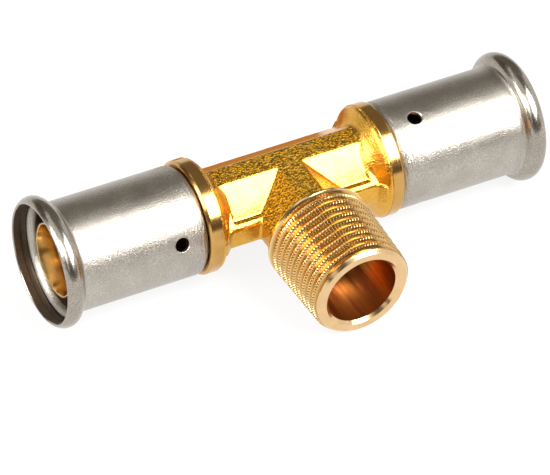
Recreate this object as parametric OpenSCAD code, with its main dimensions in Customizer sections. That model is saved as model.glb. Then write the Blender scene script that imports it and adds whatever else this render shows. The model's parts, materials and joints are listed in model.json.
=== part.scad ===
// Press tee for 20 mm multilayer pipe with a tapered male thread on the branch.
// The run lies along X, the branch points along -Y, and the two axes cross at the origin.

/* [Run] */
// Mouth to mouth length of the run
run_length = 105; // [101:1:120]
// Forged middle, from side flat to side flat
middle_width = 19; // [18:0.1:20]
// Forged middle, from top flat to bottom flat
middle_height = 16.4; // [16:0.1:18]
// Width of the top and bottom flats
top_flat = 4.4; // [3.6:0.1:5.2]
// Height of the side flats
side_flat = 4.3; // [3.6:0.1:5]
// Bore right through the run
run_bore_d = 12.4; // [11:0.1:12.8]

/* [Collars] */
// Middle of the tee to the face that the sleeve ends at
collar_face = 21.3; // [20.5:0.1:23]
// Outer diameter of the machined rim
collar_d = 23; // [22.8:0.1:25]
// Length of the straight rim
collar_rim = 2.3; // [1.5:0.1:2.6]
// Length of the chamfer beside the sleeve
collar_chamfer_length = 0.5; // [0.3:0.1:0.8]
// Depth of the chamfer beside the sleeve
collar_chamfer_depth = 0.4; // [0.2:0.05:0.6]
// Radius of the forged edge beside the rim
collar_round = 1; // [0.6:0.1:1.2]
// Length of the forged cone that falls to the middle
collar_cone = 1.9; // [1.4:0.1:2.4]
// Foot of the cone below the slanted flats
cone_sink = 0.3; // [0.2:0.05:0.5]

/* [Panels] */
// Depth of the recessed panels at their lower edge; they run out to nothing at the top
panel_depth = 0.7; // [0.3:0.05:0.9]
// Strip left above each panel
panel_upper_strip = 0.85; // [0.4:0.05:1.5]
// Ledge left below each panel
panel_lower_ledge = 1.3; // [0.5:0.05:2]
// Strip left between each panel and the collar cone
panel_end_strip = 0.7; // [0.3:0.05:1]

/* [Pipe] */
// Outer diameter of the pipe that is pushed in
pipe_d = 20; // [20:0.1:20.4]
// Wall of the pipe
pipe_wall = 2; // [1.9:0.05:2.1]
// Pipe bore larger than the insert, in diameter
insert_play = 0.3; // [0.2:0.05:0.5]
// Sleeve bore larger than the pipe, in diameter
sleeve_play = 0.4; // [0.3:0.05:0.6]

/* [Inserts] */
// Insert tip behind the sleeve's mouth
tip_recess = 3; // [1.5:0.1:5]
// Length of the outside chamfer at the tip
tip_chamfer = 1; // [0.5:0.1:1.5]
// Depth of the outside chamfer at the tip
tip_chamfer_depth = 0.35; // [0.3:0.05:0.5]
// Length of the cone that opens the run bore at each tip
mouth_cone = 4; // [2:0.1:4.5]
// Rise of that cone, in radius
mouth_cone_depth = 0.9; // [0.5:0.05:1]
// Length of one barb
barb_pitch = 2; // [1.5:0.1:2.2]
// Depth of the step behind each barb
barb_depth = 0.45; // [0.2:0.05:0.5]
// Barbs between the tip and the outer ring
tip_barbs = 2; // [1:1:2]
// Barbs between the two rings
middle_barbs = 3; // [1:1:3]
// Plain land on each side of a ring groove
groove_land = 1; // [0.6:0.1:1.2]

/* [Seals] */
// Thickness of the sealing rings
ring_section = 1.3; // [1:0.05:1.35]
// Sealing rings stand proud of the insert by
ring_proud = 0.18; // [0.1:0.01:0.2]
// Groove wider than the ring by
groove_room = 0.6; // [0.3:0.05:0.8]
// Gap left between a ring and the groove's floor
ring_gap = 0.02; // [0.01:0.01:0.05]

/* [Insulating washers] */
// Thickness of each washer
washer_thickness = 1.6; // [1.2:0.1:2]
// Seat under the washer larger than the insert, in radius
washer_seat_step = 0.3; // [0.2:0.05:0.6]
// Gap between the washer and what it sits on
washer_gap = 0.05; // [0.02:0.01:0.1]

/* [Sleeves] */
// Sheet thickness of the sleeve
sleeve_wall = 0.8; // [0.6:0.05:0.9]
// Bead crest above the sleeve
bead_rise = 2.2; // [1.6:0.1:2.6]
// Inner edge of the rolled mouth, above the sleeve bore
lip_rise = 1.1; // [0.8:0.1:1.4]
// Length of the rolled lip inside the mouth
lip_length = 1.9; // [1.2:0.1:2]
// Width of the slot behind the lip
bead_slot = 0.9; // [0.6:0.1:1.2]
// Radius where the bead runs out into the sleeve
bead_fillet = 1.2; // [0.8:0.1:2]
// Swaged end turned in by
swage_turn = 0.45; // [0.3:0.05:0.6]
// Length of the swaged end
swage_length = 1; // [0.7:0.1:1.2]
// Gap between the sleeve and the body at its seat
seat_gap = 0.05; // [0.03:0.01:0.1]
// Gap between the sleeve's end and the collar
sleeve_end_gap = 0.15; // [0.05:0.05:0.3]
// Rib on the body that the swaged end catches behind
seat_rib = 0.8; // [0.6:0.1:1.2]

/* [Inspection holes] */
// Diameter of the holes
window_d = 2.9; // [2:0.1:3]
// Number of holes in each sleeve
window_count = 3; // [1:1:4]
// Washer to the middle of the holes
window_offset = 2.1; // [1.8:0.1:4]
// Turn of the left sleeve, from the branch side upwards
left_sleeve_turn = 20; // [0:1:359]
// Turn of the right sleeve, from the branch side upwards
right_sleeve_turn = 74; // [0:1:359]

/* [Branch] */
// Middle of the tee to the branch end
branch_length = 33; // [31.5:0.5:38]
// Bore of the branch inside the thread
branch_bore_d = 14.6; // [13:0.1:15]
// Narrower bore between the branch and the run
branch_inner_d = 12; // [10.5:0.1:12.2]
// Thread diameter at the gauge plane
thread_gauge_d = 20.955; // [20.6:0.005:21.2]
// Branch end to the gauge plane
thread_gauge_length = 8.2; // [7:0.1:9]
// Length that rises one unit in diameter
thread_taper = 16; // [14:1:20]
// Length of the threaded stretch
thread_length = 18.8; // [15:0.1:19]
// Distance between two turns
thread_pitch = 1.814; // [1.8:0.001:1.83]
// Depth of the turns
thread_depth = 0.9; // [0.7:0.05:1.1]
// Plain ring between the turns and the neck
thread_plain = 1.2; // [0.8:0.1:1.6]
// Chamfer at the branch end
branch_end_chamfer = 0.9; // [0.5:0.05:1]
// Chamfer at the mouth of the branch bore
branch_bore_chamfer = 0.6; // [0.3:0.05:0.8]
// Length of the cone behind the thread
shoulder_length = 1.4; // [0.8:0.1:1.5]
// Depth of the cone behind the thread
shoulder_depth = 1.7; // [1.2:0.1:2]

/* [Hidden] */
$fn = 96;
arc_steps = 8;
round_start = 145;
cut_over = 1;

// The radii of the sleeve, the insert and the run, outermost first.
collar_r = collar_d / 2;
sleeve_bore_r = (pipe_d + sleeve_play) / 2;
sleeve_r = sleeve_bore_r + sleeve_wall;
insert_r = pipe_d / 2 - pipe_wall - insert_play / 2;
run_bore_r = run_bore_d / 2;

// The slanted flats: how steep they are, how far from the axis, and where they end along the slope.
slant_angle = atan2(middle_height - side_flat, middle_width - top_flat);
slant_r = top_flat / 2 * sin(slant_angle) + middle_height / 2 * cos(slant_angle);
slant_high = middle_height / 2 * sin(slant_angle) - top_flat / 2 * cos(slant_angle);
slant_low = side_flat / 2 * sin(slant_angle) - middle_width / 2 * cos(slant_angle);

// Places along the run, from the middle outwards.
mouth_x = run_length / 2;
tip_x = mouth_x - tip_recess;
rim_start = collar_face - collar_chamfer_length - collar_rim;
cone_start = rim_start - collar_round - collar_cone;
cone_r = slant_r - cone_sink;
sleeve_end = collar_face + sleeve_end_gap;
rib_start = sleeve_end + swage_length + seat_gap;
seat_face = rib_start + seat_rib;
washer_start = seat_face + washer_gap;
washer_end = washer_start + washer_thickness;
window_x = washer_end + window_offset;

// The seat of the sleeve: a rib with a groove between it and the collar.
seat_r = sleeve_bore_r - seat_gap;
swage_bore_r = sleeve_bore_r - swage_turn;
swage_groove_r = swage_bore_r - seat_gap;

// The insert, worked out from its tip back to the root.
groove_width = ring_section + groove_room;
ring_r = insert_r + ring_proud - ring_section / 2;
groove_r = ring_r - ring_section / 2 - ring_gap;
tip_barbs_end = tip_x - tip_chamfer;
tip_barbs_start = tip_barbs_end - tip_barbs * barb_pitch;
outer_groove_end = tip_barbs_start - groove_land;
outer_groove_start = outer_groove_end - groove_width;
middle_barbs_end = outer_groove_start - groove_land;
middle_barbs_start = middle_barbs_end - middle_barbs * barb_pitch;
inner_groove_end = middle_barbs_start - groove_land;
inner_groove_start = inner_groove_end - groove_width;
outer_ring_x = (outer_groove_start + outer_groove_end) / 2;
inner_ring_x = (inner_groove_start + inner_groove_end) / 2;
washer_seat_r = insert_r + washer_seat_step;

// The bead at the mouth: a round crest that leans on the sleeve through a fillet.
bead_r = bead_rise;
bead_x = mouth_x - bead_r;
lip_r = sleeve_bore_r + lip_rise;
slot_r = sleeve_r + bead_rise - sleeve_wall;
fillet_reach = sqrt(pow(bead_r + bead_fillet, 2) - pow(bead_fillet, 2));
fillet_x = bead_x - fillet_reach;
fillet_angle = asin(bead_fillet / (bead_r + bead_fillet));

// The branch.
thread_end_r = (thread_gauge_d - thread_gauge_length / thread_taper) / 2;
thread_base_r = thread_end_r + thread_length / thread_taper / 2;
thread_start = branch_length - thread_length;
shoulder_start = thread_start - shoulder_length;
branch_bore_r = branch_bore_d / 2;
branch_inner_r = branch_inner_d / 2;
bore_step = thread_start - (branch_bore_r - branch_inner_r);
thread_turns = floor((thread_length - thread_plain - branch_end_chamfer) / thread_pitch);

// The panels on the slanted flats.
panel_low = slant_low + panel_lower_ledge;
panel_high = slant_high - panel_upper_strip;
panel_end = cone_start - panel_end_strip;

brass = "#d9a53a";
steel = "#c4c1bb";
rubber = "#1d1d1f";
plastic = "#262626";

// Points of an arc, each as [across, along].
function arc(across, along, r, from, to) =
    [for (i = [0 : arc_steps])
        let (a = from + (to - from) * i / arc_steps)
        [across + r * sin(a), along + r * cos(a)]];

// Saw teeth that let a pipe slide on and hold it: each rises towards the root.
function barbs(start, count) =
    [for (i = [0 : count - 1], p = [
        [insert_r, start + i * barb_pitch],
        [insert_r - barb_depth, start + (i + 1) * barb_pitch]]) p];

// Crest of the tapered thread, at a place along the branch.
function crest_r(along) = thread_base_r - (along - thread_start) / thread_taper / 2;

// Turns of the thread, drawn as rings: a quarter of the pitch each for crest, flank, root and flank.
function turns() =
    [for (i = [0 : thread_turns - 1], k = [0 : 3])
        let (along = thread_start + thread_plain + (i + k / 4) * thread_pitch)
        [crest_r(along) - (k == 1 || k == 2 ? thread_depth : 0), along]];

// Turns a profile drawn as [radius, x] about the run.
module about_run() {
    rotate([0, 90, 0]) rotate_extrude() children();
}

// Draws its children at the right end, or mirrored at the left end.
module at_end(right) {
    if (right) children();
    else mirror([1, 0, 0]) children();
}

// Section of the forged middle: eight flats, the slanted ones wider than the others.
module forged_section() {
    w = middle_width / 2;
    h = middle_height / 2;
    t = top_flat / 2;
    f = side_flat / 2;
    polygon([[w, f], [t, h], [-t, h], [-w, f], [-w, -f], [-t, -h], [t, -h], [w, -f]]);
}

// Recess on the upper slanted flat that faces the branch, from the middle to near one collar. Its floor
// falls from nothing at the top to the full depth at the ledge.
module panel() {
    fall = panel_depth / (panel_high - panel_low);
    rotate([slant_angle, 0, 0]) rotate([90, 0, 90]) linear_extrude(panel_end) polygon([
        [panel_low, slant_r - panel_depth],
        [panel_high + cut_over, slant_r + cut_over * fall],
        [panel_low, slant_r + cut_over]
    ]);
}

module forged_run() {
    difference() {
        rotate([90, 0, 90])
            linear_extrude(2 * rim_start, center = true) forged_section();
        panel();
        mirror([1, 0, 0]) panel();
    }
}

module forged_neck() {
    rotate([90, 0, 0]) linear_extrude(thread_start) forged_section();
}

// Collar, sleeve seat and insert of the right end, turned in one profile.
module turned_end() {
    about_run() polygon(concat(
        [
            [0, cone_start],
            [cone_r, cone_start]
        ],
        arc(collar_r - collar_round, rim_start, collar_round, round_start, 90),
        [
            [collar_r, rim_start + collar_rim],
            [collar_r - collar_chamfer_depth, collar_face],
            [swage_groove_r, collar_face],
            [swage_groove_r, rib_start],
            [seat_r, rib_start],
            [seat_r, seat_face],
            [washer_seat_r, seat_face],
            [washer_seat_r, washer_end],
            [insert_r, washer_end],
            [insert_r, inner_groove_start],
            [groove_r, inner_groove_start],
            [groove_r, inner_groove_end],
            [insert_r, inner_groove_end]
        ],
        barbs(middle_barbs_start, middle_barbs),
        [
            [insert_r, middle_barbs_end],
            [insert_r, outer_groove_start],
            [groove_r, outer_groove_start],
            [groove_r, outer_groove_end],
            [insert_r, outer_groove_end]
        ],
        barbs(tip_barbs_start, tip_barbs),
        [
            [insert_r, tip_barbs_end],
            [insert_r - tip_chamfer_depth, tip_x],
            [0, tip_x]
        ]
    ));
}

// Tapered thread with the cone behind it and a chamfer at its end.
module branch_thread() {
    rotate([90, 0, 0]) rotate_extrude() polygon(concat(
        [
            [0, shoulder_start],
            [thread_base_r - shoulder_depth, shoulder_start],
            [thread_base_r, thread_start]
        ],
        turns(),
        [
            [crest_r(branch_length - branch_end_chamfer), branch_length - branch_end_chamfer],
            [thread_end_r - branch_end_chamfer, branch_length],
            [0, branch_length]
        ]
    ));
}

module run_bore() {
    about_run() polygon([
        [0, -tip_x - cut_over],
        [run_bore_r + mouth_cone_depth, -tip_x - cut_over],
        [run_bore_r + mouth_cone_depth, -tip_x],
        [run_bore_r, -tip_x + mouth_cone],
        [run_bore_r, tip_x - mouth_cone],
        [run_bore_r + mouth_cone_depth, tip_x],
        [run_bore_r + mouth_cone_depth, tip_x + cut_over],
        [0, tip_x + cut_over]
    ]);
}

module branch_bore() {
    rotate([90, 0, 0]) rotate_extrude() polygon([
        [0, 0],
        [branch_inner_r, 0],
        [branch_inner_r, bore_step],
        [branch_bore_r, thread_start],
        [branch_bore_r, branch_length - branch_bore_chamfer],
        [branch_bore_r + branch_bore_chamfer, branch_length],
        [branch_bore_r + branch_bore_chamfer, branch_length + cut_over],
        [0, branch_length + cut_over]
    ]);
}

module tee_body() {
    color(brass) difference() {
        union() {
            forged_run();
            forged_neck();
            turned_end();
            mirror([1, 0, 0]) turned_end();
            branch_thread();
        }
        run_bore();
        branch_bore();
    }
}

// Wall of the right sleeve: swaged end, straight tube, fillet, bead and the lip rolled into the mouth.
module sleeve_wall_section() {
    polygon(concat(
        [
            [swage_bore_r, sleeve_end],
            [swage_bore_r + sleeve_wall, sleeve_end],
            [sleeve_r, sleeve_end + swage_length + seat_rib]
        ],
        arc(sleeve_r + bead_fillet, fillet_x, bead_fillet, -90, -fillet_angle),
        arc(sleeve_r, bead_x, bead_r, 90 + 90 - fillet_angle, 0),
        [
            [lip_r, mouth_x],
            [lip_r, mouth_x - lip_length],
            [slot_r, mouth_x - lip_length],
            [slot_r, mouth_x - lip_length - bead_slot],
            [sleeve_bore_r, mouth_x - lip_length - bead_slot],
            [sleeve_bore_r, sleeve_end + swage_length],
            [swage_bore_r, sleeve_end + swage_length]
        ]
    ));
}

module sleeve(right, turn) {
    color(steel) at_end(right) difference() {
        about_run() sleeve_wall_section();
        for (i = [0 : window_count - 1])
            rotate([90 - turn - i * 360 / window_count, 0, 0])
                translate([window_x, 0, 0])
                    cylinder(d = window_d, h = sleeve_r + cut_over);
    }
}

module left_sleeve() sleeve(false, left_sleeve_turn);

module right_sleeve() sleeve(true, right_sleeve_turn);

module oring(right, x) {
    color(rubber) at_end(right)
        about_run() translate([ring_r, x]) circle(d = ring_section, $fn = 32);
}

module left_outer_oring() oring(false, outer_ring_x);

module left_inner_oring() oring(false, inner_ring_x);

module right_outer_oring() oring(true, outer_ring_x);

module right_inner_oring() oring(true, inner_ring_x);

module insulating_washer(right) {
    color(plastic) at_end(right)
        about_run()
            translate([washer_seat_r + washer_gap, washer_start])
                square([sleeve_bore_r - washer_seat_r - 2 * washer_gap, washer_thickness]);
}

module left_insulating_washer() insulating_washer(false);

module right_insulating_washer() insulating_washer(true);

tee_body();
left_sleeve();
right_sleeve();
left_outer_oring();
left_inner_oring();
right_outer_oring();
right_inner_oring();
left_insulating_washer();
right_insulating_washer();
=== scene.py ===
# %% [markdown]
# This lesson dresses a press tee for pipe: a brass forging with turned ends, a tapered male thread and
# two stainless press sleeves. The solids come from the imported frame. Here each surface gets its real
# finish, and the shapes that are too fine for the solids, such as the helix of the thread and the soft
# forged edges, are modelled. Everything stands in the frame of the solids, so each piece is made in its
# place.

# %% Load the frame
import json
import math

import bmesh
import bpy
from mathutils import Matrix, Vector, noise


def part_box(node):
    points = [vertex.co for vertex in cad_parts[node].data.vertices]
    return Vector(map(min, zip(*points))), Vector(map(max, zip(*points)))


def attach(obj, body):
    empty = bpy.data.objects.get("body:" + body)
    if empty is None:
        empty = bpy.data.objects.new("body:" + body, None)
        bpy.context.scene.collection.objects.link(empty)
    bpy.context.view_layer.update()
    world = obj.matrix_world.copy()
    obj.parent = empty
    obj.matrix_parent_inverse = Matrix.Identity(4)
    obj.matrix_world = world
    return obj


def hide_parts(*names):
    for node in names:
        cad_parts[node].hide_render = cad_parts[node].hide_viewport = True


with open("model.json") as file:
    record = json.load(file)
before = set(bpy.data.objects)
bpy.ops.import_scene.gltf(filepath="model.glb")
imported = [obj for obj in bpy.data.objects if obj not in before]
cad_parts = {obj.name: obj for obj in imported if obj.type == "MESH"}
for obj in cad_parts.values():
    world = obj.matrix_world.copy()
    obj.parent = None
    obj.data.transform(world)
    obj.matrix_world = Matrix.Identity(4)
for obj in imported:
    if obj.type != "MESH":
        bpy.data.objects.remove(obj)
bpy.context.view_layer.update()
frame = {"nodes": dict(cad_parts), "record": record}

scene = bpy.context.scene
scene.view_settings.view_transform = "Standard"
print("nodes:", sorted(frame["nodes"]))

# %% [markdown]
# Sizes are written in millimetres and become metres in the meshes. What the frame can tell is read from
# it: the boxes of the nodes give the outer reach, and the mounts give the bores and the inserts. That way
# the dressed pieces follow the solids, and only the finer shapes need sizes of their own.

# %% Driving sizes
MM = 0.001
mounts = {mount["name"]: mount for mount in frame["record"]["mounts"]}
body_low, body_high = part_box("tee_body")
sleeve_low, sleeve_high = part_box("right_sleeve")

mouth_x = sleeve_high.x / MM
sleeve_end = sleeve_low.x / MM
bead_crest_r = sleeve_high.z / MM
tip_x = body_high.x / MM
collar_r = body_high.z / MM
branch_end = -body_low.y / MM
washer_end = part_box("right_insulating_washer")[1].x / MM
run_bore_r = mounts["run_bore"]["dims"]["r_mm"]
branch_bore_r = mounts["branch_bore"]["dims"]["r_mm"]
insert_r = mounts["right_insert"]["dims"]["r_mm"]
land_length = mounts["right_insert"]["dims"]["length_mm"]
gauge_r = mounts["branch_thread"]["dims"]["r_mm"]
thread_length = mounts["branch_thread"]["dims"]["length_mm"]
thread_start = branch_end - thread_length
print(f"mouth at {mouth_x:.2f}, branch end at {branch_end:.2f}, bead crest {bead_crest_r:.2f}")

# %% [markdown]
# A material in Blender is a tree of nodes. Three helpers are enough for all the materials here: one turns
# a hex colour into the linear values that shaders expect, one starts an empty material, and one adds a
# node with its settings and links.

# %% Helpers for materials
def linear(code):
    """A hex colour such as d9a53a as linear red, green, blue and alpha."""
    parts = [int(code[i:i + 2], 16) / 255 for i in (0, 2, 4)]
    return [c / 12.92 if c <= 0.04045 else ((c + 0.055) / 1.055) ** 2.4 for c in parts] + [1.0]


def empty_material(name):
    """A new material and its tree, with no nodes in it yet."""
    material = bpy.data.materials.new(name)
    material.use_nodes = True
    material.node_tree.nodes.clear()
    return material, material.node_tree


def put(tree, kind, inputs=None, **settings):
    """Adds one node. An input takes a plain value, or the output of another node as a link."""
    node = tree.nodes.new(kind)
    for key, value in settings.items():
        setattr(node, key, value)
    for key, value in (inputs or {}).items():
        if isinstance(value, bpy.types.NodeSocket):
            tree.links.new(value, node.inputs[key])
        else:
            node.inputs[key].default_value = value
    return node


print("a middle grey in linear values:", [round(value, 3) for value in linear("808080")])

# %% [markdown]
# Meshes are worked on as a bmesh, which is Blender's editable form of a mesh. These helpers turn it into
# a plain mesh or an object, set which edges look sharp, and work in modifiers such as a cut.

# %% Helpers for meshes
MERGE_DISTANCE = 1e-7


def plain_mesh(work, name):
    """A mesh from a bmesh, which is then freed."""
    mesh = bpy.data.meshes.new(name)
    work.to_mesh(mesh)
    work.free()
    return mesh


def make_object(name, data):
    """A new object at the origin for a mesh, a lamp or a camera."""
    thing = bpy.data.objects.new(name, data)
    scene.collection.objects.link(thing)
    return thing


def shade(work, crease_deg):
    """Smooth faces, with sharp edges where faces meet at more than an angle."""
    for face in work.faces:
        face.smooth = True
    for edge in work.edges:
        edge.smooth = edge.calc_face_angle(0) < math.radians(crease_deg)


def finish_mesh(work, name, crease_deg):
    """Merges doubles, turns the faces outwards, shades them and makes a plain mesh."""
    bmesh.ops.remove_doubles(work, verts=work.verts, dist=MERGE_DISTANCE)
    bmesh.ops.recalc_face_normals(work, faces=work.faces)
    shade(work, crease_deg)
    return plain_mesh(work, name)


def subtract(thing, tool):
    """Adds a modifier that cuts the shape of a tool out of a thing."""
    cut = thing.modifiers.new(tool.name, "BOOLEAN")
    cut.operation = "DIFFERENCE"
    cut.object = tool


def evaluated_mesh(thing, name):
    """The mesh of an object with its modifiers worked in. The object itself is then removed."""
    depsgraph = bpy.context.evaluated_depsgraph_get()
    mesh = bpy.data.meshes.new_from_object(thing.evaluated_get(depsgraph))
    mesh.name = name
    bpy.data.objects.remove(thing)
    return mesh


print(f"doubles merge within {MERGE_DISTANCE / MM:.4f} mm")

# %% [markdown]
# A turned piece is an outline that is spun about an axis. The outline is a closed loop of points, each a
# distance along the axis and a radius, and its corners are broken a little, as a lathe tool leaves them.
# The Screw modifier could spin it too, but a few lines of code leave the shape open for more work.

# %% Helpers for turning
TURN_STEPS = 160
CORNER_SHARE = 0.3
REAL_CORNER_DEG = 20


def arc(along, radius, size, start_deg, end_deg, steps=8):
    """Points of an arc in an outline. Zero degrees points along the axis and ninety points outwards."""
    turn = [math.radians(start_deg + (end_deg - start_deg) * i / steps) for i in range(steps + 1)]
    return [(along + size * math.cos(a), radius + size * math.sin(a)) for a in turn]


def broken(outline, size):
    """The outline with each real corner cut back by a small flat."""
    points = [Vector(p) for p in outline]
    result = []
    for i, here in enumerate(points):
        before = points[i - 1] - here
        after = points[(i + 1) % len(points)] - here
        cut = min(size, CORNER_SHARE * before.length, CORNER_SHARE * after.length)
        if before.angle(-after, 0) < math.radians(REAL_CORNER_DEG):
            result.append(tuple(here))
        else:
            result.append(tuple(here + before.normalized() * cut))
            result.append(tuple(here + after.normalized() * cut))
    return result


def turned(outline, steps=TURN_STEPS):
    """A bmesh of the closed outline spun about the X axis, in metres."""
    work = bmesh.new()
    rings = []
    for i in range(steps):
        a = 2 * math.pi * i / steps
        places = [(x * MM, r * MM * math.cos(a), r * MM * math.sin(a)) for x, r in outline]
        rings.append([work.verts.new(place) for place in places])
    count = len(outline)
    for i in range(steps):
        here, there = rings[i], rings[(i + 1) % steps]
        for j in range(count):
            k = (j + 1) % count
            work.faces.new((here[j], here[k], there[k], there[j]))
    return work


def at_side(work, side):
    """Leaves a piece at the right end, or mirrors it to the left one. Its normals are set afterwards."""
    if side < 0:
        bmesh.ops.transform(work, matrix=Matrix.Scale(-1, 4, (1, 0, 0)), verts=work.verts)
    return work


print("steps round a turned piece:", TURN_STEPS)

# %% [markdown]
# The tee rests on its two beads and on the branch's tip, so in its own frame the floor leans by a few
# degrees. The beads reach further down than the branch, and the difference over the branch's length gives
# the lean.

# %% Lean of the floor
BRANCH_REST_DROP = 0.28

branch_rest_r = gauge_r - BRANCH_REST_DROP
lean = math.asin((bead_crest_r - branch_rest_r) / branch_end)
floor_up = Vector((0, math.sin(lean), math.cos(lean)))
print(f"floor leans {math.degrees(lean):.2f} degrees")

# %% [markdown]
# The camera stands where the photograph was taken from: half left of the branch and well above, with a
# long lens, so parallel edges stay almost parallel. The angles and the place of the tee's middle were
# fitted to the photograph, and the camera's own axes are worked out from them.

# %% Camera
PHOTO_WIDTH = 550
PHOTO_HEIGHT = 475
CAMERA_AZIMUTH = -30.46
CAMERA_ELEVATION = 41.55
CAMERA_ROLL = -3.72
CAMERA_DISTANCE = 1000
PIXELS_PER_MM = 5.15
TEE_MIDDLE_PX = (282.0, 187.7)
SENSOR_WIDTH = 36
CLIP_RANGE = (0.05, 20)

azimuth = math.radians(CAMERA_AZIMUTH)
elevation = math.radians(CAMERA_ELEVATION)
to_camera = Vector((
    math.sin(azimuth) * math.cos(elevation),
    -math.cos(azimuth) * math.cos(elevation),
    math.sin(elevation),
))
level_right = Vector((math.cos(azimuth), math.sin(azimuth), 0))
right = Matrix.Rotation(math.radians(-CAMERA_ROLL), 3, to_camera) @ level_right
up = to_camera.cross(right)
eye = to_camera * CAMERA_DISTANCE * MM
aim = (
    right * (PHOTO_WIDTH / 2 - TEE_MIDDLE_PX[0]) / PIXELS_PER_MM * MM
    + up * (TEE_MIDDLE_PX[1] - PHOTO_HEIGHT / 2) / PIXELS_PER_MM * MM
)
back = (eye - aim).normalized()
across = up.cross(back).normalized()
upright = back.cross(across)

camera_data = bpy.data.cameras.new("camera")
camera_data.sensor_width = SENSOR_WIDTH
camera_data.lens = SENSOR_WIDTH * PIXELS_PER_MM * CAMERA_DISTANCE / PHOTO_WIDTH
camera_data.clip_start, camera_data.clip_end = CLIP_RANGE
camera = make_object("camera", camera_data)
camera.matrix_world = Matrix.Translation(eye) @ Matrix((across, upright, back)).transposed().to_4x4()
scene.camera = camera
print(f"lens {camera_data.lens:.0f} mm")

# %% [markdown]
# The body is brass, pressed hot between two dies. The die leaves a grainy skin of small pits and raised
# grains about half a millimetre wide, a little duller there. The grain and its dullness are real; the
# deeper, browner tone of the grainy skin, darkest in the pits, is painted shade. Where the die was
# polished, the skin is smooth and mirrors the studio. An attribute on the mesh, named skin, says how
# grainy each place is, so one material serves the whole forging without a painted map.

# %% Forged brass
# Hot forged brass. Smooth, it is a warm yellow mirror. Grainy, it breaks the light into a glitter, and its
# darker tone there is painted shade.
GRAIN_MM = 0.42
GRAIN_HEIGHT = 0.5
PIT_RANGE = (0.42, 0.6)
BLOTCH_MM = 2.2
POLISHED_TONES = ("dfa43c", "eab856")
# The pitted tones are painted shade: darker and browner than the brass itself.
PITTED_SHADE_TONES = ("c8952c", "735413")
FORGED_ROUGHNESS = (0.21, 0.42)


def forged_brass():
    """Tone, roughness and relief all follow the skin attribute, from smooth to grainy; the darker grainy tone
    is painted shade.
    """
    material, tree = empty_material("forged_brass")
    place = put(tree, "ShaderNodeTexCoord").outputs["Object"]
    skin = put(tree, "ShaderNodeAttribute", attribute_name="skin").outputs["Fac"]
    grain = put(tree, "ShaderNodeTexNoise", {
        "Vector": place, "Scale": 1 / (GRAIN_MM * MM), "Detail": 3.0,
    }).outputs["Fac"]
    blotch = put(tree, "ShaderNodeTexNoise", {
        "Vector": place, "Scale": 1 / (BLOTCH_MM * MM), "Detail": 2.0,
    }).outputs["Fac"]
    pits = put(tree, "ShaderNodeMapRange", {
        "Value": grain, "From Min": PIT_RANGE[0], "From Max": PIT_RANGE[1],
    }).outputs["Result"]
    polished = put(tree, "ShaderNodeMix", {
        "Factor": blotch, "A": linear(POLISHED_TONES[0]), "B": linear(POLISHED_TONES[1]),
    }, data_type="RGBA").outputs["Result"]
    pitted_shade = put(tree, "ShaderNodeMix", {
        "Factor": pits, "A": linear(PITTED_SHADE_TONES[0]), "B": linear(PITTED_SHADE_TONES[1]),
    }, data_type="RGBA").outputs["Result"]
    colour = put(tree, "ShaderNodeMix", {
        "Factor": skin, "A": polished, "B": pitted_shade,
    }, data_type="RGBA").outputs["Result"]
    roughness = put(tree, "ShaderNodeMapRange", {
        "Value": skin, "To Min": FORGED_ROUGHNESS[0], "To Max": FORGED_ROUGHNESS[1],
    }).outputs["Result"]
    height = put(tree, "ShaderNodeMath", {0: grain, 1: skin}, operation="MULTIPLY").outputs[0]
    bump = put(tree, "ShaderNodeBump", {
        "Height": height, "Strength": 1.0, "Distance": GRAIN_HEIGHT * MM,
    }).outputs["Normal"]
    shader = put(tree, "ShaderNodeBsdfPrincipled", {
        "Base Color": colour, "Roughness": roughness, "Metallic": 1.0, "Normal": bump,
    })
    put(tree, "ShaderNodeOutputMaterial", {"Surface": shader.outputs["BSDF"]})
    return material


FORGED = forged_brass()
print("material:", FORGED.name)

# %% [markdown]
# Turned brass is paler than the forged skin and carries fine feed marks from the tool, rings round the
# axis that it was turned on. One recipe serves all the turned places, each with its own axis and its own
# two tones. On the ends of the run, in their mouths and on the branch's end, the tones drift slowly over
# the surface, and the mouths take paler tones, which are painted light. On the thread the tones follow
# an attribute named crest: the pale tone on the crests is painted highlight and the deep tone in the
# roots is painted shade.

# %% Turned brass
# The same brass, cut on a lathe: a bright mirror with a thin veil of rings.
# Real feed marks are finer than this. They are drawn coarser, so that they tell in the highlights.
FEED_MM = 0.12
FEED_STRETCH = 0.03
FEED_HEIGHT = 0.02
FEED_STRENGTH = 0.25
TONE_MM = 3.0
TURNED_ROUGHNESS = (0.1, 0.24)


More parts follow.
